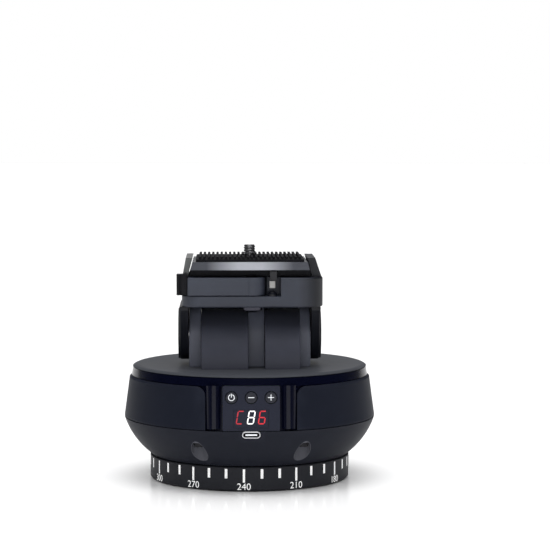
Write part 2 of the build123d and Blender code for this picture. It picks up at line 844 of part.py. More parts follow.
sector_half_angle = 52
with BuildPart() as tilt_sector:
    with BuildSketch(Plane(origin=(16.3, 0, tilt_z), x_dir=(0, 1, 0), z_dir=(1, 0, 0))):
        with BuildLine():
            Polyline(*gear_points(tilt_gear_teeth, -90), close=True)
        make_face()
        with BuildLine():
            reach = 24 * math.sin(math.radians(sector_half_angle))
            depth = 24 * math.cos(math.radians(sector_half_angle))
            Polyline((0, 0), (-reach, -depth), (0, -30), (reach, -depth), close=True)
        make_face(mode=Mode.INTERSECT)
        Circle(7.5)
        Circle(shaft_radius, mode=Mode.SUBTRACT)
    extrude(amount=4)
tilt_sector.part.label = "tilt_sector"
export_step(tilt_sector.part, "parts/tilt_sector.step")

with BuildPart() as thrust_washers:
    for start in (-arm_inner, ear_outer + 0.06):
        with BuildSketch(Plane.YZ.offset(start)):
            with Locations((0, tilt_z)):
                Circle(7.5)
                Circle(shaft_radius, mode=Mode.SUBTRACT)
        extrude(amount=arm_inner - ear_outer - 0.06)
thrust_washers.part.label = "thrust_washers"
export_step(thrust_washers.part, "parts/thrust_washers.step")

with BuildPart() as tilt_screws:
    for side in (-1, 1):
        with BuildSketch(Plane.YZ.offset(side * screw_seat_x)):
            with Locations((0, tilt_z)):
                Circle(3)
        extrude(amount=side * 1.3)
        with BuildSketch(Plane.YZ.offset(side * 25)):
            with Locations((0, tilt_z)):
                Circle(1.5)
        extrude(amount=side * 8.6)
tilt_screws.part.label = "tilt_screws"
export_step(tilt_screws.part, "parts/tilt_screws.step")

with BuildPart() as side_caps:
    for side in (-1, 1):
        with BuildSketch(Plane.YZ.offset(side * arm_outer)):
            with Locations((0, tilt_z)):
                Circle(13)
        extrude(amount=side * 0.75)
side_caps.part.label = "side_caps"
export_step(side_caps.part, "parts/side_caps.step")

with BuildPart() as side_arms:
    # a round end at the shaft, widening up to the bridge, with a tenon let into it
    for start in (-arm_outer, arm_inner):
        with BuildSketch(Plane.YZ.offset(start)):
            with Locations((0, tilt_z)):
                Circle(arm_end_radius)
            with Locations((0, bridge_bottom - 1)):
                Rectangle(arm_head_width, 2)
            make_hull()
        extrude(amount=arm_outer - arm_inner)
    chamfer(side_arms.faces().sort_by(Axis.X)[0].edges(), length=edge_break)
    chamfer(side_arms.faces().sort_by(Axis.X)[-1].edges(), length=edge_break)
    for side in (-1, 1):
        with BuildSketch(Plane.YZ.offset(side * tenon_start)):
            with Locations((0, bridge_bottom + (tenon_height - 1) / 2)):
                Rectangle(tenon_width, tenon_height + 1)
        extrude(amount=side * tenon_thickness)
    # shaft screws with their recesses
    with BuildSketch(Plane.YZ.offset(-arm_outer)):
        with Locations((0, tilt_z)):
            Circle(1.5)
    extrude(amount=2 * arm_outer, mode=Mode.SUBTRACT)
    for side in (-1, 1):
        with BuildSketch(Plane.YZ.offset(side * screw_seat_x)):
            with Locations((0, tilt_z)):
                Circle(9)
        extrude(amount=side * 3, mode=Mode.SUBTRACT)
side_arms.part.label = "side_arms"
export_step(side_arms.part, "parts/side_arms.step")

with BuildPart() as yoke:
    # bridge with the clamp's deck on it
    with BuildSketch(Plane.XY.offset(bridge_bottom)):
        with Locations((bridge_centre, 0)):
            RectangleRounded(2 * bridge_half_width, 2 * bridge_half_depth, bridge_corner)
    extrude(amount=clamp_deck_z - bridge_bottom)
    chamfer(yoke.faces().sort_by(Axis.Z)[-1].edges(), length=edge_break)
    chamfer(yoke.faces().sort_by(Axis.Z)[0].edges(), length=edge_break)
    # stiffening web under the rear edge
    with BuildSketch(Plane.XY.offset(web_bottom)):
        with Locations((0, bridge_half_depth - edge_break - web_thickness / 2)):
            Rectangle(60, web_thickness)
    extrude(amount=bridge_bottom + 1 - web_bottom)
    # fixed jaw on the right
    with BuildSketch(Plane.XZ.offset(fixed_jaw_half)):
        with BuildLine():
            Polyline(
                (31.6, clamp_deck_z), (36.4, clamp_deck_z), (33.2, jaw_top), (29.15, jaw_top), close=True
            )
        make_face()
    extrude(amount=-2 * fixed_jaw_half)
    # front notch for the lever and the safety pin
    with BuildSketch(Plane.XY.offset(ledge_z)):
        with Locations(((15.5 - 40) / 2, -bridge_half_depth)):
            Rectangle(55.5, 17.2)
        with Locations((lever_x, lever_y)):
            Circle(lever_sweep)
    extrude(amount=12, mode=Mode.SUBTRACT)
    # pocket for the foot and drive arm of the moving jaw
    with BuildSketch(Plane.XY.offset(97)):
        with Locations((-29, 0)):
            Rectangle(20, 20)
        with Locations((-16.4, -8.95)):
            Rectangle(19.2, 8.7)
    extrude(amount=12, mode=Mode.SUBTRACT)
    # bore of the lever's bolt and mortises of the side arms
    with BuildSketch(Plane.XY.offset(bridge_bottom)):
        with Locations((lever_x, lever_y)):
            Circle(3)
    extrude(amount=8, mode=Mode.SUBTRACT)
    for side in (-1, 1):
        with BuildSketch(Plane.YZ.offset(side * tenon_start)):
            with Locations((0, bridge_bottom + (tenon_height - 1) / 2)):
                Rectangle(tenon_width, tenon_height + 1)
        extrude(amount=side * tenon_thickness, mode=Mode.SUBTRACT)
yoke.part.label = "yoke"
export_step(yoke.part, "parts/yoke.step")

with BuildPart() as lever_bolt:
    with BuildSketch(Plane(origin=(lever_x, lever_y, 0), x_dir=(1, 0, 0), z_dir=(0, -1, 0))):
        with BuildLine():
            Polyline((0, 87.1), (3.2, 87.1), (5.1, 88.2), (5.4, 89.75), (3, 89.75), (3, 103.6), (4.4, 103.6))
            Polyline((4.4, 103.6), (4.4, 104.4), (2.6, 105.5), (0, 105.8), (0, 87.1))
        make_face()
    revolve(axis=Axis((lever_x, lever_y, 0), (0, 0, 1)))
lever_bolt.part.label = "lever_bolt"
export_step(lever_bolt.part, "parts/lever_bolt.step")

with BuildPart() as spring_cup:
    with BuildSketch(Plane.XY.offset(ledge_z)):
        with Locations((11.2, -25)):
            Circle(2.4)
    extrude(amount=2.5)
    fillet(spring_cup.edges().sort_by(Axis.Z)[-1], radius=1.6)
spring_cup.part.label = "spring_cup"
export_step(spring_cup.part, "parts/spring_cup.step")

# =====================================================================
# Clamp lever, moving jaw and safety pin
# =====================================================================

lever_bottom = 95.6
lever_top = 104.75
with BuildPart() as lever:
    with BuildSketch(Plane.XY.offset(lever_bottom)):
        with Locations((-15.3, -24.2)):
            Rectangle(32.6, 7.6)
        with Locations((lever_x, lever_y)):
            Circle(lever_boss)
        with Locations((lever_x + 1.3, lever_y + 2.2)):
            Circle(4.9)
    extrude(amount=lever_top - lever_bottom)
    chamfer(lever.faces().sort_by(Axis.Z)[-1].edges(), length=0.4)
    chamfer(lever.faces().sort_by(Axis.Z)[0].edges(), length=0.4)
    with BuildSketch(Plane.XY.offset(lever_bottom)):
        with Locations((lever_x, lever_y)):
            Circle(3.05)
    extrude(amount=10, mode=Mode.SUBTRACT)
    with BuildSketch(Plane.XY.offset(103.5)):
        with Locations((lever_x, lever_y)):
            Circle(4.7)
    extrude(amount=2, mode=Mode.SUBTRACT)
lever.part.label = "lever"
export_step(lever.part, "parts/lever.step")

with BuildPart() as lever_grip:
    with BuildSketch(Plane.XY.offset(96.1)):
        with Locations((-34.4, -24.3)):
            RectangleRounded(5.4, 9.0, 1.2)
        with Locations((-37.1, -26.8), (-37.1, -24.0), (-37.1, -21.2), (-35.2, -28.8)):
            Circle(0.6, mode=Mode.SUBTRACT)
    extrude(amount=10.4)
lever_grip.part.label = "lever_grip"
export_step(lever_grip.part, "parts/lever_grip.step")

with BuildPart() as clamp_jaw:
    with BuildSketch(Plane.XZ.offset(18.4)):
        with BuildLine():
            Polyline(
                (-31.55, plate_bottom), (-34.3, plate_bottom), (-32.6, jaw_top), (-29.15, jaw_top),
                close=True,
            )
        make_face()
    extrude(amount=-42.4)
    with BuildSketch(Plane.XY.offset(97.4)):
        with Locations((-27.5, 0)):
            Rectangle(13.8, 19.2)
    extrude(amount=7.0)
    with BuildSketch(Plane.XY.offset(97.4)):
        with Locations((-33.1, 0)):
            Rectangle(2.6, 19.2)
    extrude(amount=8.0)
    with BuildSketch(Plane.XY.offset(97.4)):
        with Locations((-15.9, -9.0)):
            Rectangle(16.2, 7.8)
    extrude(amount=5.0)
clamp_jaw.part.label = "clamp_jaw"
export_step(clamp_jaw.part, "parts/clamp_jaw.step")

with BuildPart() as safety_pin:
    with BuildSketch(Plane.XY.offset(99.6)):
        with Locations((11.2, -25.7)):
            Rectangle(3.0, 3.0)
    extrude(amount=3.4)
    chamfer(safety_pin.edges().filter_by(Axis.Z), length=0.25)
safety_pin.part.label = "safety_pin"
export_step(safety_pin.part, "parts/safety_pin.step")

with BuildPart() as safety_tab:
    with BuildSketch(Plane.XY.offset(103.0)):
        with Locations((11.8, -24.1)):
            Rectangle(3.4, 3.0)
    extrude(amount=4.8)
safety_tab.part.label = "safety_tab"
export_step(safety_tab.part, "parts/safety_tab.step")

# =====================================================================
# Camera plate
# =====================================================================

with BuildPart() as camera_plate:
    with BuildSketch(Plane.XZ.offset(17.5)):
        with BuildLine():
            Polyline(
                (-31.2, plate_bottom), (31.2, plate_bottom), (30.2, plate_step), (-30.2, plate_step),
                close=True,
            )
        make_face()
    extrude(amount=-43.5)
    with BuildSketch(Plane.XZ.offset(26)):
        with BuildLine():
            Polyline(
                (-30.2, plate_step), (30.2, plate_step), (29.1, plate_top), (-29.1, plate_top), close=True
            )
        make_face()
    extrude(amount=-52)
    with BuildSketch(Plane.XY.offset(plate_bottom)):
        Circle(10.5)
    extrude(amount=3.8, mode=Mode.SUBTRACT)
    with BuildSketch(Plane.XY.offset(plate_bottom)):
        Circle(3.3)
    extrude(amount=10, mode=Mode.SUBTRACT)
camera_plate.part.label = "camera_plate"
export_step(camera_plate.part, "parts/camera_plate.step")

with BuildPart() as plate_pad:
    with BuildSketch(Plane.XY.offset(plate_top)):
        RectangleRounded(55, 49, 2)
    extrude(amount=1.3)
    with BuildSketch(Plane.XY.offset(plate_top + 1.3)):
        with GridLocations(2.2, 1, 24, 1):
            Rectangle(1.2, 46)
    extrude(amount=pad_top - plate_top - 1.3)
    with BuildSketch(Plane.XY.offset(plate_top)):
        Circle(7)
    extrude(amount=5, mode=Mode.SUBTRACT)
plate_pad.part.label = "plate_pad"
export_step(plate_pad.part, "parts/plate_pad.step")

with BuildPart() as camera_screw:
    with BuildSketch(Plane.XZ):
        with BuildLine():
            Polyline(
                (0, screw_head_bottom),
                (screw_head_radius, screw_head_bottom),
                (screw_head_radius, screw_head_top),
                (screw_neck_radius, screw_head_top),
                (screw_neck_radius, thread_start - thread_lead),
                (camera_thread_radius, thread_start),
                (camera_thread_radius, screw_tip - 0.6),
                (camera_thread_radius - 0.6, screw_tip),
                (0, screw_tip),
                close=True,
            )
        make_face()
    revolve(axis=Axis.Z)
    with BuildSketch(Plane.XY.offset(screw_head_bottom)):
        Rectangle(14, 1.8)
    extrude(amount=1.4, mode=Mode.SUBTRACT)
camera_screw.part.label = "camera_screw"
export_step(camera_screw.part, "parts/camera_screw.step")
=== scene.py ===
import json
import math

import bmesh
import bpy
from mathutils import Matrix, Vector


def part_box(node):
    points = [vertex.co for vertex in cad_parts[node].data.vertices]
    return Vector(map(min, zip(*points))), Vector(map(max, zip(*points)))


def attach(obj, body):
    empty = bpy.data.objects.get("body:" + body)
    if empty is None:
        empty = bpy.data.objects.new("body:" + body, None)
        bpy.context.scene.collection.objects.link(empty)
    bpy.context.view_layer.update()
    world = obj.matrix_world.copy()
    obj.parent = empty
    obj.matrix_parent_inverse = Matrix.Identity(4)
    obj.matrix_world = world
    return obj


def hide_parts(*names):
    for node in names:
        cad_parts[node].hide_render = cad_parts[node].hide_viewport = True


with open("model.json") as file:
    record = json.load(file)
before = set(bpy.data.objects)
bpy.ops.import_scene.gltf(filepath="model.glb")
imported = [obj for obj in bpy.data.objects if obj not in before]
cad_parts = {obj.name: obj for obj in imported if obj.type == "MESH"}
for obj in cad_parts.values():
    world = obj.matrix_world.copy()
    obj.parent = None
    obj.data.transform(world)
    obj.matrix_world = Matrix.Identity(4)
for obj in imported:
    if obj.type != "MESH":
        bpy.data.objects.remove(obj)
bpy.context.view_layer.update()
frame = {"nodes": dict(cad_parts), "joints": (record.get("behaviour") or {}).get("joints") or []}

MM = 0.001


# =====================================================================
# Helpers: places in the frame
# =====================================================================

def low(node):
    """Lowest corner of a node's box."""
    return Vector(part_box(node)[0])


def high(node):
    """Highest corner of a node's box."""
    return Vector(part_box(node)[1])


def middle(node):
    """Middle of a node's box."""
    return (low(node) + high(node)) / 2


def joint(name):
    """The frame's record of one joint."""
    return next(j for j in frame["joints"] if j["name"] == name)


# =====================================================================
# Helpers: meshes
# =====================================================================

CRISP_ANGLE = math.radians(40)
LETTER_STEPS = 4
LETTER_WELD = 1e-4


def new_object(name, bm, material, smooth=True):
    """Turns a bmesh into an object with one material."""
    bmesh.ops.recalc_face_normals(bm, faces=bm.faces)
    mesh = bpy.data.meshes.new(name)
    bm.to_mesh(mesh)
    bm.free()
    for polygon in mesh.polygons:
        polygon.use_smooth = smooth
    piece = bpy.data.objects.new(name, mesh)
    bpy.context.scene.collection.objects.link(piece)
    piece.data.materials.append(material)
    return piece


def sharpen(piece):
    """Keeps the steep edges crisp on a smooth-shaded piece."""
    split = piece.modifiers.new("crisp", "EDGE_SPLIT")
    split.split_angle = CRISP_ANGLE


def rectangle(left, bottom, right, top):
    """Corners of an upright rectangle."""
    return (left, bottom), (right, bottom), (right, top), (left, top)


def arc_points(radius, start, end, steps):
    """Points of an arc, in degrees counted anticlockwise from the right."""
    angles = [math.radians(start + (end - start) * k / steps) for k in range(steps + 1)]
    return [(radius * math.cos(a), radius * math.sin(a)) for a in angles]


def add_plate(bm, outline, place, thickness):
    """Adds a closed plate: an outline of (u, v) points, put in space by place(u, v, height)."""
    top = [bm.verts.new(place(u, v, thickness)) for u, v in outline]
    bottom = [bm.verts.new(place(u, v, 0.0)) for u, v in outline]
    bm.faces.new(top)
    bm.faces.new(list(reversed(bottom)))
    for i in range(len(outline)):
        j = (i + 1) % len(outline)
        bm.faces.new((top[i], bottom[i], bottom[j], top[j]))


def add_band(bm, inner, outer, place, thickness):
    """Adds a row of closed plates between two rows of (u, v) points of the same length."""
    for i in range(len(inner) - 1):
        quad = (inner[i], inner[i + 1], outer[i + 1], outer[i])
        add_plate(bm, quad, place, thickness)


def add_ring(bm, z, radii):
    """Adds a level ring of points round the Z axis, one for each radius."""
    ring = []
    for k, radius in enumerate(radii):
        angle = 2 * math.pi * k / len(radii)
        ring.append(bm.verts.new((radius * math.cos(angle), radius * math.sin(angle), z)))
    return ring


def join_rings(bm, rings):
    """Adds the wall between each ring of points and the next."""
    for near, far in zip(rings, rings[1:]):
        for k in range(len(near)):
            j = (k + 1) % len(near)
            bm.faces.new((near[k], near[j], far[j], far[k]))


def text_mesh(body, size):
    """The filled outline of a short text, centred on the origin, as a flat bmesh."""
    curve = bpy.data.curves.new("text_outline", "FONT")
    curve.body = body
    curve.size = size
    curve.align_x = "CENTER"
    curve.align_y = "CENTER"
    curve.resolution_u = LETTER_STEPS
    holder = bpy.data.objects.new("text_outline", curve)
    bpy.context.scene.collection.objects.link(holder)
    bpy.context.view_layer.update()
    mesh = bpy.data.meshes.new_from_object(holder)
    bm = bmesh.new()
    bm.from_mesh(mesh)
    bpy.data.objects.remove(holder)
    bpy.data.curves.remove(curve)
    bpy.data.meshes.remove(mesh)
    bmesh.ops.remove_doubles(bm, verts=bm.verts, dist=size * LETTER_WELD)
    return bm


# =====================================================================
# Helpers: shader nodes
# =====================================================================

def srgb(r, g, b):
    """Linear colour of an sRGB colour given in 0 to 255."""
    def channel(v):
        v = v / 255
        return v / 12.92 if v <= 0.04045 else ((v + 0.055) / 1.055) ** 2.4
    return (channel(r), channel(g), channel(b), 1.0)


def scaled(colour, factor, lift=0.0):
    """The colour made lighter or darker, within 0 to 1."""
    return tuple(min(1, c * factor + lift) for c in colour[:3]) + (1,)


def feed(tree, socket, value):
    """Links another node's output to a socket, or sets the socket to a plain value."""
    if isinstance(value, bpy.types.NodeSocket):
        tree.links.new(value, socket)
    else:
        socket.default_value = value


def add_node(tree, kind, fed=(), **settings):
    """A new node with its settings, and with values or links fed to its inputs by name or number."""
    node = tree.nodes.new(kind)
    for name, value in settings.items():
        setattr(node, name, value)
    for key, value in dict(fed).items():
        feed(tree, node.inputs[key], value)
    return node


def calculate(tree, operation, *values):
    """Output of a maths node."""
    return add_node(tree, "ShaderNodeMath", enumerate(values), operation=operation).outputs[0]


def distance(tree, first, second):
    """Distance between two points."""
    node = add_node(tree, "ShaderNodeVectorMath", {0: first, 1: second}, operation="DISTANCE")
    return node.outputs["Value"]


def graded(tree, value, start, end, at_start=0.0, at_end=1.0):
    """Goes evenly from one result to another while the value goes from start to end."""
    fed = {"Value": value, "From Min": start, "From Max": end, "To Min": at_start, "To Max": at_end}
    return add_node(tree, "ShaderNodeMapRange", fed).outputs["Result"]


def mixed_colour(tree, share, first, second):
    """Goes from the first colour to the second with the share."""
    return add_node(tree, "ShaderNodeMix", {0: share, 6: first, 7: second}, data_type="RGBA").outputs[2]


def noise(tree, where, scale, **inputs):
    """Even noise from 0 to 1."""
    return add_node(tree, "ShaderNodeTexNoise", {"Vector": where, "Scale": scale, **inputs}).outputs["Fac"]


def part_point(tree):
    """The shaded point's place on the part, in metres."""
    return add_node(tree, "ShaderNodeTexCoord").outputs["Object"]


def axes_of(tree, vector):
    """The X, Y and Z outputs of a vector."""
    return add_node(tree, "ShaderNodeSeparateXYZ", {0: vector}).outputs


# =====================================================================
# Helpers: materials
# =====================================================================

CLOUD_SCALE = 90
CLOUD_DETAIL = 4
COLOUR_VARY = 0.12
GRAIN_DETAIL = 3
GRAIN_ROUGHNESS = 0.6
STREAK_SHARE = 0.04
STREAK_SCALE = {None: (1, 1, 1), "x": (STREAK_SHARE, 1, 1), "z": (1, 1, STREAK_SHARE)}
WORN_FROM, WORN_FULL = 0.53, 0.62
WORN_FACTOR, WORN_LIFT = 3, 0.02
SMOOTHEST = 0.02
SOFT_EDGE_SAMPLES = 4
GLOW_SCALE = 700
GLOW_LEAST = 0.8


def surface(name, colour, roughness, metallic=0.0, grain=0.35, grain_height=0.004, rough_vary=0.08,
            wear=0.0, streak=None, specular=0.5, softened=0.0):
    """Moulded, painted or machined surface: colour clouds, fine grain, uneven gloss and worn edges.

    grain is the size of the relief in mm and grain_height its depth in mm. streak stretches it along one
    axis. softened is the radius in mm that the light sees on the edges.
    """
    material = bpy.data.materials.new(name)
    material.use_nodes = True
    tree = material.node_tree
    shader = tree.nodes["Principled BSDF"]
    shader.inputs["Metallic"].default_value = metallic
    shader.inputs["Specular IOR Level"].default_value = specular
    point = part_point(tree)

    cloud = noise(tree, point, CLOUD_SCALE, Detail=CLOUD_DETAIL)
    tone = mixed_colour(tree, cloud, scaled(colour, 1 - COLOUR_VARY), scaled(colour, 1 + COLOUR_VARY))
    if wear:
        edge = add_node(tree, "ShaderNodeNewGeometry").outputs["Pointiness"]
        patchy = calculate(tree, "MULTIPLY", graded(tree, edge, WORN_FROM, WORN_FULL), cloud)
        amount = calculate(tree, "MULTIPLY", patchy, wear)
        tone = mixed_colour(tree, amount, tone, scaled(colour, WORN_FACTOR, WORN_LIFT))
    feed(tree, shader.inputs["Base Color"], tone)

    stretched = add_node(tree, "ShaderNodeMapping", {"Vector": point, "Scale": STREAK_SCALE[streak]})
    speck = noise(tree, stretched.outputs["Vector"], 1 / (grain * MM), Detail=GRAIN_DETAIL,
                  Roughness=GRAIN_ROUGHNESS)
    uneven = calculate(tree, "MULTIPLY", calculate(tree, "ADD", cloud, speck), 0.5)
    smoothest = max(SMOOTHEST, roughness - rough_vary)
    roughest = min(1.0, roughness + rough_vary)
    feed(tree, shader.inputs["Roughness"], graded(tree, uneven, 0, 1, smoothest, roughest))

    bump = {"Strength": 1.0, "Distance": grain_height * MM, "Height": speck}
    relief = add_node(tree, "ShaderNodeBump", bump)
    if softened:
        rounded = add_node(tree, "ShaderNodeBevel", {"Radius": softened * MM}, samples=SOFT_EDGE_SAMPLES)
        feed(tree, relief.inputs["Normal"], rounded.outputs["Normal"])
    feed(tree, shader.inputs["Normal"], relief.outputs["Normal"])
    return material


def glowing(name, colour, strength):
    """A lit segment, or a bright print given painted light: coloured, with slightly uneven light of its own.
    """
    material = surface(name, colour, 0.35, grain=0.2, grain_height=0.001)
    tree = material.node_tree
    shader = tree.nodes["Principled BSDF"]
    shader.inputs["Emission Strength"].default_value = strength
    uneven = noise(tree, part_point(tree), GLOW_SCALE)
    light = mixed_colour(tree, uneven, scaled(colour, GLOW_LEAST), colour)
    feed(tree, shader.inputs["Emission Color"], light)
    return material


def tone_over(material, share, colour):
    """Lays a second tone over the base colour, as much as the share says."""
    tree = material.node_tree
    target = tree.nodes["Principled BSDF"].inputs["Base Color"]
    below = target.links[0].from_socket
    feed(tree, target, mixed_colour(tree, share, below, colour))


def shade_along(material, axis, start, full, colour, most=1.0, both_ways=False):
    """Another tone that grows from none at start to most at full, along one axis."""
    tree = material.node_tree
    along = axes_of(tree, part_point(tree))[axis]
    if both_ways:
        along = calculate(tree, "ABSOLUTE", along)
    tone_over(material, graded(tree, along, start, full, at_end=most), colour)


def shade_corner(material, near, far, front, depth, colour, most):
    """Painted shade: another tone that grows from near to far along X, and fades within the depth behind the
    front.
    """
    tree = material.node_tree
    axes = axes_of(tree, part_point(tree))
    rightward = graded(tree, axes["X"], near, far, at_end=most)
    forward = graded(tree, axes["Y"], front + depth, front)
    tone_over(material, calculate(tree, "MULTIPLY", rightward, forward), colour)


def shade_pockets(material, spots, radius, edge, colour):
    """Painted light: another tone inside the upright pockets round the given spots."""
    tree = material.node_tree
    level = {0: part_point(tree), 1: (1, 1, 0)}
    flat = add_node(tree, "ShaderNodeVectorMath", level, operation="MULTIPLY").outputs["Vector"]
    gaps = [distance(tree, flat, (x, y, 0)) for x, y in spots]
    nearest = gaps[0]
    for gap in gaps[1:]:
        nearest = calculate(tree, "MINIMUM", nearest, gap)
    tone_over(material, graded(tree, nearest, radius, radius + edge, 1.0, 0.0), colour)


def shade_slot(material, height, half_length, radius, edge, colour):
    """Painted shade: another tone inside a level slot with round ends, centred on the front."""
    tree = material.node_tree
    axes = axes_of(tree, part_point(tree))
    beyond = calculate(tree, "SUBTRACT", calculate(tree, "ABSOLUTE", axes["X"]), half_length)
    round_end = calculate(tree, "MAXIMUM", beyond, 0.0)
    point = add_node(tree, "ShaderNodeCombineXYZ", {"X": round_end, "Z": axes["Z"]}).outputs[0]
    gap = distance(tree, point, (0, 0, height))
    tone_over(material, graded(tree, gap, radius, radius + edge, 1.0, 0.0), colour)


# =====================================================================
# Materials: the casing and the ring
# =====================================================================

belly_black = surface("belly_black", srgb(33, 35, 43), 0.45, grain=0.22, grain_height=0.003, wear=0.15,
                      specular=0.06)
belt_black = surface("belt_black", srgb(26, 29, 39), 0.46, grain=0.25, grain_height=0.005, wear=0.2,
                     specular=0.06, softened=0.5)
gloss_black = surface("gloss_black", srgb(6, 8, 24), 0.16, grain=0.8, grain_height=0.0006, rough_vary=0.03,
                      specular=0.17)
cover_grey = surface("cover_grey", srgb(58, 60, 65), 0.5, grain=0.2, grain_height=0.003, wear=0.2,
                     specular=0.06, softened=0.3)
ring_black = surface("ring_black", srgb(36, 37, 42), 0.5, grain=0.2, grain_height=0.003, wear=0.2,
                     specular=0.15)
rubber = surface("rubber", srgb(20, 20, 24), 0.75, grain=0.35, grain_height=0.02, specular=0.25)

# Painted light: the six screw pockets in the belly are painted lighter inside, to 0.1 mm past their walls,
# for the light falling on those walls.
SCREW_CIRCLE = 57.9 * MM
SCREW_ANGLES = [math.radians(a) for a in (26, 90, 154, 206, 270, 334)]
SCREW_SPOTS = [(SCREW_CIRCLE * math.sin(a), -SCREW_CIRCLE * math.cos(a)) for a in SCREW_ANGLES]
POCKET_RADIUS = 4.2 * MM
shade_pockets(belly_black, SCREW_SPOTS, POCKET_RADIUS, edge=0.1 * MM, colour=srgb(84, 85, 92))

# =====================================================================
# Materials: the control panel
# =====================================================================

panel_black = surface("panel_black", srgb(31, 34, 48), 0.26, grain=0.3, grain_height=0.001, rough_vary=0.04,
                      specular=0.14, softened=0.2)
smoked = surface("smoked", srgb(30, 33, 47), 0.24, grain=0.6, grain_height=0.0004, rough_vary=0.04,
                 specular=0.14)
key_black = surface("key_black", srgb(25, 27, 38), 0.3, grain=0.2, grain_height=0.002, specular=0.35,
                    softened=0.2)
button_black = surface("button_black", srgb(14, 15, 22), 0.3, grain=0.2, grain_height=0.002, specular=0.35)
tube_black = surface("tube_black", srgb(16, 10, 12), 0.3, grain=0.3, grain_height=0.001)
# Painted shade: a near-black for the plate that stands in for the shade in the charging socket's well.
well_shade_black = surface("well_shade_black", srgb(6, 6, 10), 0.6, grain=0.3, grain_height=0.001, specular=0.1)
# Painted light: the white print and the white icons glow with light of their own, though they are no lamps.
print_white_painted_glow = glowing("print_white_painted_glow", srgb(240, 240, 240), 0.35)
icon_white_painted_glow = glowing("icon_white_painted_glow", srgb(225, 228, 232), 0.4)
lit_red = glowing("lit_red", srgb(195, 24, 40), 0.45)
dim_red = glowing("dim_red", srgb(165, 22, 38), 0.45)
lit_white = glowing("lit_white", srgb(250, 248, 250), 0.6)
socket_rim = surface("socket_rim", srgb(225, 226, 230), 0.5, grain=0.12, grain_height=0.001)

# Painted shade: the charging socket is painted dark inside a thin light rim, for the shade in its hollow.
SOCKET_HEIGHT = 30.2 * MM
SOCKET_HALF_STRAIGHT = 2.84 * MM
SOCKET_RIM_INNER = 1.22 * MM
shade_slot(socket_rim, SOCKET_HEIGHT, SOCKET_HALF_STRAIGHT, SOCKET_RIM_INNER, edge=0.05 * MM,
           colour=srgb(8, 8, 12))

# =====================================================================
# Materials: the column, the yoke and the clamp
# =====================================================================

column_grey = surface("column_grey", srgb(51, 53, 64), 0.5, grain=0.18, grain_height=0.003, wear=0.2,
                      softened=0.3)
band_grey = surface("band_grey", srgb(80, 83, 95), 0.48, grain=0.18, grain_height=0.003, wear=0.1,
                    softened=0.4)
cast_grey = surface("cast_grey", srgb(44, 48, 59), 0.5, grain=0.28, grain_height=0.006, wear=0.3,
                    softened=0.5)
arm_black = surface("arm_black", srgb(10, 12, 20), 0.4, grain=0.25, grain_height=0.004, wear=0.2,
                    specular=0.3, softened=0.4)
jaw_metal = surface("jaw_metal", srgb(96, 98, 98), 0.38, metallic=0.8, grain=0.3, grain_height=0.01,
                    rough_vary=0.12, softened=0.4)
plate_metal = surface("plate_metal", srgb(176, 178, 186), 0.4, metallic=0.75, grain=0.55, grain_height=0.09,
                      rough_vary=0.2)
pin_metal = surface("pin_metal", srgb(150, 150, 148), 0.4, metallic=0.5, grain=0.1, grain_height=0.001)

# Painted shade: the castings are painted darker towards the right end of the front, for the shade on the
# rounded corner there, and the fixed jaw above the deck is darker.
DECK_LEVEL = 104.7 * MM
SHADED_FRONT = -19 * MM
shade_corner(cast_grey, near=24 * MM, far=33 * MM, front=SHADED_FRONT, depth=6 * MM,
             colour=srgb(10, 11, 15), most=0.85)
shade_along(cast_grey, "Z", start=DECK_LEVEL + 0.2 * MM, full=DECK_LEVEL + 0.4 * MM, colour=srgb(20, 22, 29))

# Painted highlight and painted shadow: the camera plate is painted brightest in the middle, as a highlight,
# and painted dark below the step in its edge, as the shadow there.
PLATE_STEP = 108.5 * MM
shade_along(plate_metal, "X", start=6 * MM, full=22 * MM, colour=srgb(52, 54, 62), most=0.9, both_ways=True)
shade_along(plate_metal, "Z", start=PLATE_STEP + 0.15 * MM, full=PLATE_STEP - 0.15 * MM,
            colour=srgb(14, 15, 20))

# =====================================================================
# Materials: screws, shafts and what is inside
# =====================================================================

steel = surface("steel", srgb(176, 176, 178), 0.3, metallic=1.0, grain=0.12, grain_height=0.001, streak="x")
dark_steel = surface("dark_steel", srgb(70, 70, 78), 0.28, metallic=1.0, grain=0.12, grain_height=0.002,
                     streak="z")
bright_steel = surface("bright_steel", srgb(225, 225, 228), 0.14, metallic=1.0, grain=0.1,
                       grain_height=0.0005)
black_screw = surface("black_screw", srgb(30, 30, 34), 0.35, metallic=0.7, grain=0.12, grain_height=0.002)
brass = surface("brass", srgb(196, 160, 92), 0.28, metallic=1.0, grain=0.12, grain_height=0.001)
aluminium = surface("aluminium", srgb(190, 192, 196), 0.34, metallic=1.0, grain=0.15, grain_height=0.002,
                    streak="x")
nylon = surface("nylon", srgb(225, 222, 210), 0.5, grain=0.3)
board = surface("board", srgb(30, 90, 50), 0.4, grain=0.4)
cell_wrap = surface("cell_wrap", srgb(60, 110, 170), 0.3, grain=0.4, grain_height=0.002)

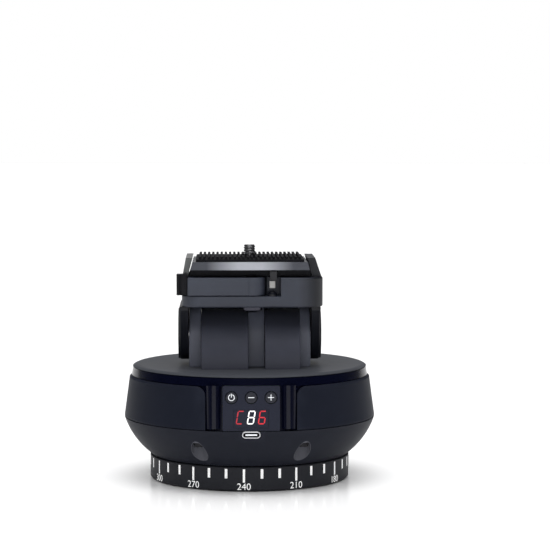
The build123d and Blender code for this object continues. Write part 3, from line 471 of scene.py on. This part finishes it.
NODE_MATERIAL = {
    "base_ring": ring_black, "foot_ring": rubber, "tripod_socket": brass, "pan_gear": nylon,
    "gear_screws": steel, "bearing_inner": steel, "bearing_balls": bright_steel, "hub_retainer": aluminium,
    "retainer_screws": steel, "bearing_race": steel, "chassis": aluminium, "pan_motor": steel,
    "battery_cradle": button_black, "battery_cells": cell_wrap, "frame_posts": brass,
    "tilt_chassis": aluminium, "tilt_motor": steel, "lower_shell": belly_black, "shell_screws": black_screw,
    "upper_shell": gloss_black, "belt_panel": belt_black, "top_cover": cover_grey,
    "control_panel": panel_black, "display_window": smoked, "display_module": tube_black,
    "main_board": board, "tact_switches": button_black, "usb_socket": socket_rim, "column_ears": band_grey,
    "tilt_bushes": brass, "column_left": column_grey, "column_right": column_grey, "column_band": band_grey,
    "pan_motor_shaft": steel, "pan_pinion": brass, "tilt_motor_shaft": steel, "tilt_pinion": brass,
    "power_button": key_black, "minus_button": key_black, "plus_button": key_black, "yoke": cast_grey,
    "side_arms": arm_black, "tilt_shaft": steel, "tilt_sector": brass, "thrust_washers": bright_steel,
    "tilt_screws": steel, "side_caps": arm_black, "lever_bolt": dark_steel, "spring_cup": button_black,
    "lever": cast_grey, "lever_grip": rubber, "clamp_jaw": jaw_metal, "safety_pin": pin_metal,
    "safety_tab": button_black, "camera_plate": plate_metal, "plate_pad": rubber, "camera_screw": steel,
}


def dress_nodes():
    """Gives every CAD node its material."""
    for name, node in frame["nodes"].items():
        node.data.materials.clear()
        node.data.materials.append(NODE_MATERIAL[name])


# =====================================================================
# Graduated ring
# =====================================================================

RING_RADIUS = high("base_ring").x
RING_TOP = 12.4 * MM
FRONT_VALUE = 236.1
PRINT_HEIGHT = 0.05 * MM
MARK_TOP = RING_TOP - 1.0 * MM
MARK_STEP = 10
NUMBER_STEP = 30
LONG_MARK, LONG_HALF_WIDTH = 6.6 * MM, 0.55 * MM
SHORT_MARK, SHORT_HALF_WIDTH = 4.7 * MM, 0.65 * MM
NUMBER_SIZE = 4.7 * MM
NUMBER_LEVEL = 2.5 * MM


def ring_place(value):
    """Places flat (u, v) points on the ring's wall, u along the wall from the given value's mark."""
    start = math.radians(FRONT_VALUE - value)

    def place(u, v, height):
        angle = start + u / RING_RADIUS
        radius = RING_RADIUS + height
        return Vector((radius * math.sin(angle), -radius * math.cos(angle), v))
    return place


def make_ring_marks():
    """Printed marks all round, a long one at every number."""
    bm = bmesh.new()
    for value in range(0, 360, MARK_STEP):
        is_long = value % NUMBER_STEP == 0
        length = LONG_MARK if is_long else SHORT_MARK
        half = LONG_HALF_WIDTH if is_long else SHORT_HALF_WIDTH
        add_plate(bm, rectangle(-half, MARK_TOP - length, half, MARK_TOP), ring_place(value), PRINT_HEIGHT)
    marks = new_object("ring_marks", bm, print_white_painted_glow, smooth=False)
    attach(marks, "base")


def make_ring_numbers():
    """A number under every long mark, wrapped on the ring's wall."""
    for value in range(0, 360, NUMBER_STEP):
        bm = text_mesh(str(value), NUMBER_SIZE)
        result = bmesh.ops.extrude_face_region(bm, geom=bm.faces[:])
        raised = {v for v in result["geom"] if isinstance(v, bmesh.types.BMVert)}
        place = ring_place(value)
        for vert in bm.verts:
            height = PRINT_HEIGHT if vert in raised else 0.0
            vert.co = place(vert.co.x, vert.co.y + NUMBER_LEVEL, height)
        number = new_object(f"ring_number_{value}", bm, print_white_painted_glow, smooth=False)
        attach(number, "base")


# =====================================================================
# Control panel: icons, display and charging socket
# =====================================================================

PANEL_OUT = -Vector(joint("power_press")["axis"]).normalized()
PANEL_UP = Vector((0, PANEL_OUT.z, -PANEL_OUT.y))

# How far the outer faces of the buttons and the window are from the middles of their boxes.
BUTTON_FACE = 1.6 * MM
WINDOW_FACE = 0.6 * MM

ICON_HEIGHT = 0.04 * MM
ICON_STROKE = 0.34 * MM
ICON_REACH = 1.5 * MM
POWER_RADIUS = 1.45 * MM
POWER_HALF_GAP = 18
POWER_STEPS = 40
POWER_BAR_BOTTOM, POWER_BAR_TOP = 0.1 * MM, 1.95 * MM

FIGURE_PITCH = 5.4 * MM
FIGURE_RISE = 0.7 * MM
FIGURE_WIDTH = 2.9 * MM
FIGURE_HEIGHT = 6.1 * MM
FIGURE_STROKE = 0.6 * MM
FIGURE_SLANT = 0.17
SEGMENT_GAP = 0.16 * FIGURE_STROKE
SEGMENT_ENDS = {
    "a": ((0, 2), (1, 2)),
    "b": ((1, 2), (1, 1)),
    "c": ((1, 1), (1, 0)),
    "d": ((0, 0), (1, 0)),
    "e": ((0, 1), (0, 0)),
    "f": ((0, 2), (0, 1)),
    "g": ((0, 1), (1, 1)),
}

SOCKET_FLOOR = 0.45 * MM
SOCKET_END_STEPS = 12


def panel_place(centre):
    """Places (u, v, height) on the leaning control panel, u to the right, v up, height outwards."""
    def place(u, v, height):
        return centre + Vector((u, 0, 0)) + PANEL_UP * v + PANEL_OUT * height
    return place


def button_place(node):
    """Places (u, v, height) on a button's outer face."""
    return panel_place(middle(node) + PANEL_OUT * BUTTON_FACE)


def make_icons():
    """Power, minus and plus signs printed on the buttons."""
    half = ICON_STROKE / 2
    power = bmesh.new()
    place = button_place("power_button")
    start, end = 90 + POWER_HALF_GAP, 450 - POWER_HALF_GAP
    inner = arc_points(POWER_RADIUS - half, start, end, POWER_STEPS)
    outer = arc_points(POWER_RADIUS + half, start, end, POWER_STEPS)
    add_band(power, inner, outer, place, ICON_HEIGHT)
    add_plate(power, rectangle(-half, POWER_BAR_BOTTOM, half, POWER_BAR_TOP), place, ICON_HEIGHT)
    icon = new_object("power_icon", power, icon_white_painted_glow, smooth=False)
    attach(icon, "power_key")

    across = rectangle(-ICON_REACH, -half, ICON_REACH, half)
    upper = rectangle(-half, half, half, ICON_REACH)
    lower = rectangle(-half, -ICON_REACH, half, -half)
    for node, body, bars in (("minus_button", "minus_key", (across,)),
                             ("plus_button", "plus_key", (across, upper, lower))):
        bm = bmesh.new()
        for corners in bars:
            add_plate(bm, corners, button_place(node), ICON_HEIGHT)
        icon = new_object(node.replace("button", "icon"), bm, icon_white_painted_glow, smooth=False)
        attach(icon, body)


def segment_outline(name):
    """Six corners of one segment of a slanted seven-segment figure, centred on the origin."""
    (u0, v0), (u1, v1) = SEGMENT_ENDS[name]
    start = Vector(((u0 - 0.5) * FIGURE_WIDTH, (v0 - 1) * FIGURE_HEIGHT / 2))
    end = Vector(((u1 - 0.5) * FIGURE_WIDTH, (v1 - 1) * FIGURE_HEIGHT / 2))
    along = (end - start).normalized()
    across = Vector((-along.y, along.x))
    start += along * SEGMENT_GAP
    end -= along * SEGMENT_GAP
    half = FIGURE_STROKE / 2
    corners = (
        start, start + along * half + across * half, end - along * half + across * half,
        end, end - along * half - across * half, start + along * half - across * half,
    )
    return [(c.x + c.y * FIGURE_SLANT, c.y) for c in corners]


def make_display():
    """Three slanted seven-segment figures on the window's face."""
    centre = middle("display_window") + PANEL_OUT * WINDOW_FACE + PANEL_UP * FIGURE_RISE
    lit = {-1: ("adef", dim_red), 0: ("abcdefg", lit_white), 1: ("acdefg", lit_red)}
    for column, (segments, material) in lit.items():
        place = panel_place(centre + Vector((column * FIGURE_PITCH, 0, 0)))
        bm = bmesh.new()
        for name in segments:
            add_plate(bm, segment_outline(name), place, ICON_HEIGHT)
        figure = new_object(f"figure_{column + 1}", bm, material, smooth=False)
        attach(figure, "head")


def make_socket_tongue():
    """Tongue of the charging socket, white and given painted light of its own, with rounded ends, and
    painted shade round it: a dark plate in the well.
    """
    centre = Vector((0, low("usb_socket").y, middle("usb_socket").z))

    def place(u, v, height):
        return centre + Vector((u, SOCKET_FLOOR - height, v))

    # The dark plate is painted shade in the well, and the white tongue glows with painted light.
    for name, half_length, radius, thickness, material in (
            ("socket_well_shade", 2.85 * MM, 0.96 * MM, 0.1 * MM, well_shade_black),
            ("socket_tongue", 2.55 * MM, 0.36 * MM, 0.2 * MM, icon_white_painted_glow)):
        right = [(x + half_length, z) for x, z in arc_points(radius, -90, 90, SOCKET_END_STEPS)]
        left = [(x - half_length, z) for x, z in arc_points(radius, 90, 270, SOCKET_END_STEPS)]
        bm = bmesh.new()
        add_plate(bm, right + left, place, thickness)
        piece = new_object(name, bm, material, smooth=False)
        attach(piece, "head")


# =====================================================================
# Camera screw and tripod socket with their threads
# =====================================================================

THREAD_PITCH = 25.4 / 20 * MM
THREAD_STEPS = 36
ROWS_PER_TURN = 8

SCREW_HEAD_HEIGHT = 2.9 * MM
SCREW_THREAD_LENGTH = 4.6 * MM
SCREW_NECK = 2.6 * MM
SCREW_CREST = 3.175 * MM
SCREW_ROOT = 2.45 * MM
SCREW_TIP = SCREW_CREST - 0.75 * MM
SCREW_TIP_LENGTH = 0.7 * MM
KNURLS = 60
KNURL_DEPTH = 0.22 * MM

SLEEVE_RISE = 0.2 * MM
SLEEVE_LENGTH = 10.5 * MM
SLEEVE_OUTER = 3.15 * MM
SLEEVE_ROOT = 3.1 * MM
SLEEVE_CREST = 2.55 * MM
SLEEVE_MOUTH = 3.05 * MM
SLEEVE_MOUTH_LENGTH = 0.6 * MM


def thread_levels(start, end):
    """Heights of the rings of points from start to end."""
    rows = int((end - start) / (THREAD_PITCH / ROWS_PER_TURN))
    return [start + (end - start) * row / rows for row in range(rows + 1)]


def thread_radii(rise, root, crest):
    """Radii round a thread at a height above its start, from the root to the crest and back in each turn."""
    phases = [(rise / THREAD_PITCH - k / THREAD_STEPS) % 1.0 for k in range(THREAD_STEPS)]
    return [root + (crest - root) * (1 - abs(phase - 0.5) * 2) for phase in phases]


def make_camera_screw():
    """The camera screw: knurled head, relieved neck and a real helical thread, 20 turns to the inch."""
    bottom = low("camera_screw").z
    tip = high("camera_screw").z
    head_radius = high("camera_screw").x
    head_top = bottom + SCREW_HEAD_HEIGHT
    bm = bmesh.new()

    shank = []
    for z in thread_levels(head_top, tip):
        radii = thread_radii(z - head_top, SCREW_ROOT, SCREW_CREST)
        if z < tip - SCREW_THREAD_LENGTH:
            radii = [SCREW_NECK] * THREAD_STEPS
        if tip - z < SCREW_TIP_LENGTH:
            radii = [min(radius, SCREW_TIP + (tip - z)) for radius in radii]
        shank.append(add_ring(bm, z, radii))
    join_rings(bm, shank)
    bm.faces.new(shank[-1])

    # Heights in the head, each with the share of the full radius that the head has there.
    profile = ((bottom, 0.55), (bottom + 0.25 * MM, 0.95), (bottom + 0.6 * MM, 1.0),
               (head_top - 0.3 * MM, 1.0), (head_top, 0.96))
    head = []
    for z, share in profile:
        radius = head_radius * share
        head.append(add_ring(bm, z, [radius, radius - KNURL_DEPTH] * KNURLS))
    join_rings(bm, head)
    bm.faces.new(list(reversed(head[0])))
    bm.faces.new(head[-1])
    screw = new_object("threaded_camera_screw", bm, steel)
    sharpen(screw)
    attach(screw, "plate_screw")
    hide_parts("camera_screw")


def make_tripod_thread():
    """The tripod socket's thread: a sleeve in the hole, its inner wall winding 20 turns to the inch."""
    start = low("tripod_socket").z + SLEEVE_RISE
    end = start + SLEEVE_LENGTH
    bm = bmesh.new()
    rings = []
    for z in thread_levels(start, end):
        radii = thread_radii(z - start, SLEEVE_ROOT, SLEEVE_CREST)
        if z - start < SLEEVE_MOUTH_LENGTH:
            radii = [max(radius, SLEEVE_MOUTH - (z - start)) for radius in radii]
        rings.append(add_ring(bm, z, radii))
    for z in (end, start):
        rings.append(add_ring(bm, z, [SLEEVE_OUTER] * THREAD_STEPS))
    join_rings(bm, rings + rings[:1])
    thread = new_object("tripod_thread", bm, brass)
    sharpen(thread)
    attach(thread, "base")


# =====================================================================
# Stage: floor, world, lights, camera
# =====================================================================

FLOOR_HALF = 12.0
FLOOR_COLOUR = (0.92, 0.92, 0.925, 1)
FLOOR_MIRROR = 0.25
FLOOR_ROUGHNESS = (0.12, 0.16)
FLOOR_SPECK_SCALE = 60

ROOM_LIGHT = 0.06
BACKDROP_LIGHT = 0.75
# Each fade starts and ends at these values of a direction's Y, Z or X. A share is what is left of the light.
BACKDROP_FADE = (0.1, 0.6)
TOP_FADE, TOP_SHARE = (0.3, 0.8), 0.25
SIDE_FADE, SIDE_SHARE = (0.12, 0.38), 0.1

SKY_LIGHT = 4.1
SKY_ANGLE = math.radians(100)
LIGHT_TARGET = Vector((0, 0, 0.06))
# Name, place, width, height, power in watts, and whether it shows in reflections.
SOFTBOXES = (
    ("front_low", (0, -1.6, 0.13), 1.6, 0.2, 2.0, True),
    ("front_fill", (0, -1.8, 0.35), 1.6, 0.7, 5.0, False),
    ("overhead", (0, -0.2, 1.2), 0.9, 0.3, 2.4, True),
)

# The lens and the sensor are in mm, and the places in metres.
SENSOR_WIDTH = 36
LENS = 133.8545
CAMERA_DISTANCE = 1.055
CAMERA_HEIGHT = 0.1757
CAMERA_SIDE = -0.014
CAMERA_PITCH = math.radians(3.8685)
AIM_RIGHT_OF_AXIS = math.radians(0.7172)
CLIP_NEAR, CLIP_FAR = 0.05, 60


def make_floor():
    """A pale floor, matt with a share of soft mirror in it."""
    material = bpy.data.materials.new("floor_white")
    material.use_nodes = True
    tree = material.node_tree
    tree.nodes.remove(tree.nodes["Principled BSDF"])
    speck = noise(tree, part_point(tree), FLOOR_SPECK_SCALE)
    roughness = graded(tree, speck, 0, 1, *FLOOR_ROUGHNESS)
    matt = add_node(tree, "ShaderNodeBsdfDiffuse", {"Color": FLOOR_COLOUR})
    mirror = add_node(tree, "ShaderNodeBsdfGlossy", {"Color": (1, 1, 1, 1), "Roughness": roughness})
    both = add_node(tree, "ShaderNodeMixShader", {0: FLOOR_MIRROR, 1: matt.outputs[0], 2: mirror.outputs[0]})
    feed(tree, tree.nodes["Material Output"].inputs["Surface"], both.outputs[0])
    bm = bmesh.new()
    corners = rectangle(-FLOOR_HALF, -FLOOR_HALF, FLOOR_HALF, FLOOR_HALF)
    bm.faces.new([bm.verts.new((x, y, 0)) for x, y in corners])
    floor = new_object("floor", bm, material)


def make_world():
    """White to the camera; in reflections a white backdrop between dark sides and a dark front."""
    world = bpy.data.worlds.new("studio")
    bpy.context.scene.world = world
    world.use_nodes = True
    tree = world.node_tree
    background = tree.nodes["Background"]
    axes = axes_of(tree, add_node(tree, "ShaderNodeTexCoord").outputs["Generated"])
    backdrop = graded(tree, axes["Y"], *BACKDROP_FADE, ROOM_LIGHT, BACKDROP_LIGHT)
    below_top = graded(tree, axes["Z"], *TOP_FADE, 1.0, TOP_SHARE)
    between_sides = graded(tree, calculate(tree, "ABSOLUTE", axes["X"]), *SIDE_FADE, 1.0, SIDE_SHARE)
    room = calculate(tree, "MULTIPLY", calculate(tree, "MULTIPLY", backdrop, below_top), between_sides)
    camera_ray = add_node(tree, "ShaderNodeLightPath").outputs["Is Camera Ray"]
    feed(tree, background.inputs["Color"], calculate(tree, "MAXIMUM", room, camera_ray))
    background.inputs["Strength"].default_value = 1.0


def add_light(name, kind, energy, mirrored):
    """A light of one kind. One that isn't mirrored lights surfaces without showing in them."""
    data = bpy.data.lights.new(name, kind)
    data.energy = energy
    light = bpy.data.objects.new(name, data)
    bpy.context.scene.collection.objects.link(light)
    light.visible_glossy = mirrored
    return light


def make_lights():
    """An even sky light for the floor, and soft boxes in front and overhead."""
    sky = add_light("sky", "SUN", SKY_LIGHT, mirrored=False)
    sky.data.angle = SKY_ANGLE
    for name, place, width, height, power, mirrored in SOFTBOXES:
        box = add_light(name, "AREA", power, mirrored)
        box.data.shape = "RECTANGLE"
        box.data.size = width
        box.data.size_y = height
        box.location = place
        box.rotation_euler = (LIGHT_TARGET - Vector(place)).to_track_quat("-Z", "Y").to_euler()
        box.visible_camera = False


def make_camera():
    """A long lens a little above the head, which stands low and left in the frame."""
    data = bpy.data.cameras.new("camera")
    data.sensor_width = SENSOR_WIDTH
    data.lens = LENS
    data.clip_start = CLIP_NEAR
    data.clip_end = CLIP_FAR
    camera = bpy.data.objects.new("camera", data)
    bpy.context.scene.collection.objects.link(camera)
    camera.location = (CAMERA_SIDE, -CAMERA_DISTANCE, CAMERA_HEIGHT)
    turn = math.atan(-CAMERA_SIDE / CAMERA_DISTANCE) + AIM_RIGHT_OF_AXIS
    camera.rotation_euler = (math.pi / 2 - CAMERA_PITCH, 0, -turn)
    bpy.context.scene.camera = camera


# =====================================================================
# The scene
# =====================================================================

bpy.context.scene.view_settings.view_transform = "Standard"
make_camera()
dress_nodes()
make_ring_marks()
make_ring_numbers()
make_icons()
make_display()
make_socket_tongue()
make_camera_screw()
make_tripod_thread()
make_floor()
make_world()
make_lights()
